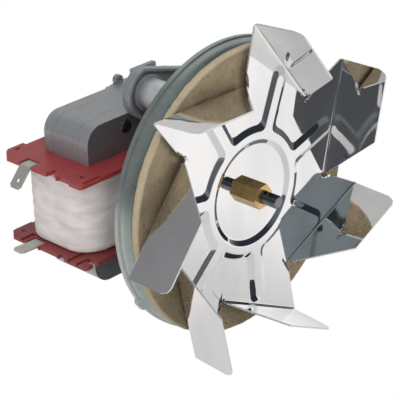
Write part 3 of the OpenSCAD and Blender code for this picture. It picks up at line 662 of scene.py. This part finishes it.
def make_insulation(finish):
    """Fibre disc: a thin edge over the flange's shoulder, filling the recess behind it."""
    low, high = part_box("insulation_disc")
    back, front = high.y, low.y
    edge_r, hole_r, flat_r = high.x - FIBRE_INSET, FIBRE_HOLE_R, FIBRE_FLAT_R
    section = [(hole_r + (flat_r - hole_r) * k / 14, front) for k in range(15)]
    for k in range(21):
        y = FIBRE_T * k / 20
        drop = FIBRE_BULGE_R - math.sqrt(FIBRE_BULGE_R**2 - (y - FIBRE_T / 2) ** 2)
        section.append((edge_r - drop, front + y))
    section += [(RECESS_R, front + FIBRE_T), (RECESS_R - FIBRE_INSET, back)]
    section += [(flat_r - (flat_r - hole_r) * k / 8, back) for k in range(9)]

    def worn(r, y, a):
        spot = Vector((r * math.cos(a), y, r * math.sin(a)))
        rough = noise.noise(spot * 380) * 0.00022 + noise.noise(spot * 1300) * 0.00010
        return r + smooth_step(0.058, 0.064, r) * (rough + noise.noise(spot * 90) * 0.00010)

    return turned("fibre_disc", section, 360, worn, finish, "mineral_fibre", "insulation_disc")


def arc_section(centre_r, centre_y, radius, steps, outward):
    """Quarter of a circle from the lip to the front, or back again."""
    shares = [k / steps for k in range(steps + 1)]
    if not outward:
        shares.reverse()
    return [(centre_r + radius * math.cos(s * math.pi / 2), centre_y - radius * math.sin(s * math.pi / 2))
        for s in shares]


def make_flange(finish):
    """Pressed flange: a lip, a rounded shoulder, and a plate set back inside it."""
    low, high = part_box("insulation_disc")
    plate, hole_r = high.y, FLANGE_HOLE_R
    rim_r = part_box("mounting_flange")[1].x
    side_r = rim_r - LIP_STEP
    centre_r, centre_y = side_r - SHOULDER_R, SHOULDER_R - SHOULDER_FRONT
    section = [(rim_r, 0.0), (rim_r, LIP_END / 2), (rim_r, LIP_END), (side_r, LIP_BLEND_END)]
    section += arc_section(centre_r, centre_y, SHOULDER_R, 16, True)
    section += [(RECESS_R + 0.0010, -SHOULDER_FRONT), (RECESS_R + 0.0002, plate - 0.0008)]
    section += [(RECESS_R - 0.001, plate), (hole_r, plate)]
    section += [(hole_r, plate + STIFFENER_BACK), (hole_r + FLANGE_WALL, plate + STIFFENER_BACK)]
    section += [(hole_r + FLANGE_WALL, plate + FLANGE_WALL), (RECESS_R, plate + FLANGE_WALL)]
    section += arc_section(centre_r, centre_y, SHOULDER_R - FLANGE_WALL, 10, False)
    section += [(rim_r - FLANGE_WALL, 0.0)]

    def with_nib(r, y, a):
        off = abs((a - NIB_ANGLE + math.pi) % (2 * math.pi) - math.pi)
        across = smooth_step(1.25 * NIB_HALF_ANGLE, 0.75 * NIB_HALF_ANGLE, off)
        bump = across * smooth_step(0.0052, 0.0030, -y)
        return r + NIB_RISE * bump * smooth_step(0.0630, 0.0648, r)

    piece = turned("pressed_flange", section, 480, with_nib, finish, "galvanised", "mounting_flange")
    split = piece.modifiers.new("edges", "EDGE_SPLIT")
    split.split_angle = math.radians(42)
    return piece


# Taped coil


def make_tape(finish):
    """Glass tape in overlapping turns round the winding."""
    low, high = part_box("coil_tape")
    centre = (low + high) / 2
    half = (high - low) / 2
    corner = 0.0135
    turns, rows_per_turn, around = 7, 12, 200
    outline = []
    straight_x, straight_y = half.x - corner, half.y - corner
    quarter = math.pi / 2
    lengths = [2 * straight_y, quarter * corner, 2 * straight_x, quarter * corner] * 2
    total = sum(lengths)
    corners = [(1, 1), (-1, 1), (-1, -1), (1, -1)]
    for j in range(around):
        s = total * j / around
        side = 0
        while s > lengths[side]:
            s -= lengths[side]
            side += 1
        quadrant = side // 2
        cx, cy = corners[quadrant][0] * straight_x, corners[quadrant][1] * straight_y
        start = quadrant * quarter
        if side % 2:
            a = start + s / corner
            out = Vector((math.cos(a), math.sin(a)))
            outline.append((Vector((cx + corner * out.x, cy + corner * out.y)), out))
        else:
            out = Vector((math.cos(start), math.sin(start)))
            run = Vector((-out.y, out.x))
            before = Vector((cx, cy)) + out * corner - run * (lengths[side] - s)
            outline.append((before, out))
    verts, faces = [], []
    rows = turns * rows_per_turn
    for k in range(rows + 1):
        share = k / rows
        z = low.z + (high.z - low.z) * share
        for j, (spot, out) in enumerate(outline):
            wander = 0.35 * noise.noise(Vector((j / around * 6, k // rows_per_turn * 1.7, 3)))
            phase = (share * turns + j / around + wander) % 1
            lap = 0.00016 * (1 - phase) if phase > 0.12 else 0.00016 * phase / 0.12 * 0.88
            crease = 0.00012 * noise.noise(Vector((spot.x * 140, spot.y * 140, z * 520)))
            inset = 0.0004 - lap - crease
            rounding = 0.0012 * smooth_step(0.93, 1.0, abs(2 * share - 1))
            p = spot - out * (inset + rounding)
            verts.append((centre.x + p.x, centre.y + p.y, z))
    for k in range(rows):
        for j in range(around):
            a, b = k * around + j, k * around + (j + 1) % around
            faces.append((a, b, b + around, a + around))
    faces.append(tuple(range(around - 1, -1, -1)))
    faces.append(tuple(rows * around + j for j in range(around)))
    return new_piece("tape_wrap", verts, faces, "motor", "coil_tape", finish, "coil_tape", "coil_winding")


# CAD nodes that stay


def dress_nodes(finishes):
    """Gives every CAD node its finish and smooth curved faces."""
    slots = {part["node"]: part["material_slot"] for part in frame["record"]["subparts"]}
    for name, piece in frame["nodes"].items():
        mesh = piece.data
        mesh.polygons.foreach_set("use_smooth", [True] * len(mesh.polygons))
        if not piece.material_slots:
            mesh.materials.append(None)
        for holder in piece.material_slots:
            holder.material = finishes[slots[name]]


def soften_edges(names, width):
    for name in names:
        piece = frame["nodes"][name]
        weld = piece.modifiers.new("weld", "WELD")
        weld.merge_threshold = 2e-6
        bevel = piece.modifiers.new("bevel", "BEVEL")
        bevel.width = width
        bevel.segments = 2
        bevel.limit_method = "ANGLE"
        bevel.angle_limit = math.radians(40)
        bevel.harden_normals = True


# Light and floor


def make_world():
    """White to the camera, a soft level on the object, and a studio for gloss to show."""
    world = bpy.data.worlds.new("studio")
    bpy.context.scene.world = world
    world.use_nodes = True
    n = Nodes(world.node_tree)
    direction = n.add("TexCoord").outputs["Generated"]
    x, y, z = (n.axis(direction, i) for i in range(3))
    table = n.step(z, -0.30, -0.40)
    front = n.step(y, 0.2, -0.2)
    side = n.step(x, -0.1, 0.2)
    # Painted shadow: for gloss, the table seen steeply below and towards the front is darker, standing
    # for the object's own shade on it.
    steep = n.math("MULTIPLY", n.step(z, -0.5, -0.74), n.range(front, 0.38, 1.0))
    under = n.mix(steep, (0.90, 0.89, 0.885), (0.44, 0.43, 0.43))
    before = n.mix(n.step(z, 0.0, 0.7), (0.09, 0.095, 0.105), (0.20, 0.235, 0.25))
    before = n.mix(n.math("MULTIPLY", side, n.step(z, 0.2, -0.1)), before, (0.24, 0.26, 0.30))
    corner = n.math("MULTIPLY", n.step(x, 0.15, 0.4), n.step(z, -0.18, 0.05))
    before = n.mix(corner, before, (0.025, 0.03, 0.04))
    behind = n.mix(side, (0.24, 0.24, 0.25), (0.60, 0.60, 0.59))
    studio = n.mix(table, n.mix(front, behind, before), under)
    path = n.add("LightPath")
    soft = (0.62, 0.62, 0.63)
    seen = n.mix(path.outputs["Is Glossy Ray"], soft, studio)
    white = n.math("MAXIMUM", path.outputs["Is Camera Ray"], path.outputs["Is Transmission Ray"])
    seen = n.mix(white, seen, (1.0, 1.0, 1.0))
    background = n.add("Background")
    n.put(background.inputs["Color"], seen)
    out = n.add("OutputWorld")
    n.tree.links.new(background.outputs[0], out.inputs["Surface"])


def make_lamp(name, place, size, power, colour=(1, 1, 1)):
    data = bpy.data.lights.new(name, "AREA")
    data.size = size
    data.energy = power
    data.color = colour
    lamp = bpy.data.objects.new(name, data)
    lamp.location = place
    lamp.rotation_mode = "QUATERNION"
    lamp.rotation_quaternion = (-Vector(place)).to_track_quat("-Z", "Y")
    lamp.visible_glossy = False
    bpy.context.collection.objects.link(lamp)


FLOOR_DROP = 0.003
FLOOR_RADIUS = 0.5


def make_floor():
    """Round white floor under the fan wheel, clear from below, with a painted soft shadow where gloss
    shows it.
    """
    z = cad_box[0].z - FLOOR_DROP
    turns = 96
    angles = [2 * math.pi * j / turns for j in range(turns)]
    ring = [(FLOOR_RADIUS * math.cos(a), FLOOR_RADIUS * math.sin(a), z) for a in angles]
    mesh = bpy.data.meshes.new("floor")
    mesh.from_pydata(ring, [], [tuple(range(turns))])
    floor = bpy.data.objects.new("floor", mesh)
    bpy.context.collection.objects.link(floor)
    made = bpy.data.materials.new("floor")
    made.use_nodes = True
    n = Nodes(made.node_tree)
    path = n.add("LightPath")
    shown = n.math("MAXIMUM", path.outputs["Is Camera Ray"], path.outputs["Is Glossy Ray"])
    shown = n.math("MAXIMUM", shown, path.outputs["Is Transmission Ray"])
    glow = n.add("Emission")
    across, deep = n.axis(n.place(), 0), n.axis(n.place(), 1)
    # Painted shadow: for gloss, the floor is darker in front of and near the object, and lighter farther
    # out to the side.
    shade = n.mix(n.step(deep, 0.0, 40.0), (0.68, 0.68, 0.68), (0.98, 0.92, 0.90))
    mirrored = n.mix(n.step(across, 25.0, 105.0), shade, (1.0, 0.99, 0.985))
    n.put(glow.inputs["Color"], n.mix(path.outputs["Is Glossy Ray"], (1.0, 1.0, 1.0), mirrored))
    pale = n.add("BsdfDiffuse")
    n.put(pale.inputs["Color"], (0.85, 0.85, 0.85))
    clear = n.add("BsdfTransparent")
    first = n.add("MixShader")
    n.put(first.inputs[0], shown)
    n.tree.links.new(pale.outputs[0], first.inputs[1])
    n.tree.links.new(glow.outputs[0], first.inputs[2])
    second = n.add("MixShader")
    n.put(second.inputs[0], n.add("NewGeometry").outputs["Backfacing"])
    n.tree.links.new(first.outputs[0], second.inputs[1])
    n.tree.links.new(clear.outputs[0], second.inputs[2])
    out = n.add("OutputMaterial")
    n.tree.links.new(second.outputs[0], out.inputs["Surface"])
    mesh.materials.append(made)


make_camera()
make_world()
make_lamp("key", (0.45, -0.9, -0.05), 0.6, 7)
make_lamp("fill", (-0.5, -0.5, 0.95), 0.8, 5)
make_lamp("left", (-0.9, -0.25, -0.25), 0.5, 3.5)
make_floor()
finishes = make_finishes()
dress_nodes(finishes)
soften_edges(["front_bracket", "rear_bracket"], 0.3 * MM)
make_fan_wheel(finishes["fan_steel"], finishes["cut_edge"])
make_insulation(finishes["mineral_fibre"])
make_flange(finishes["galvanised"])
make_tape(finishes["coil_tape"])

bpy.context.scene.view_settings.view_transform = "Standard"
bpy.context.view_layer.update()
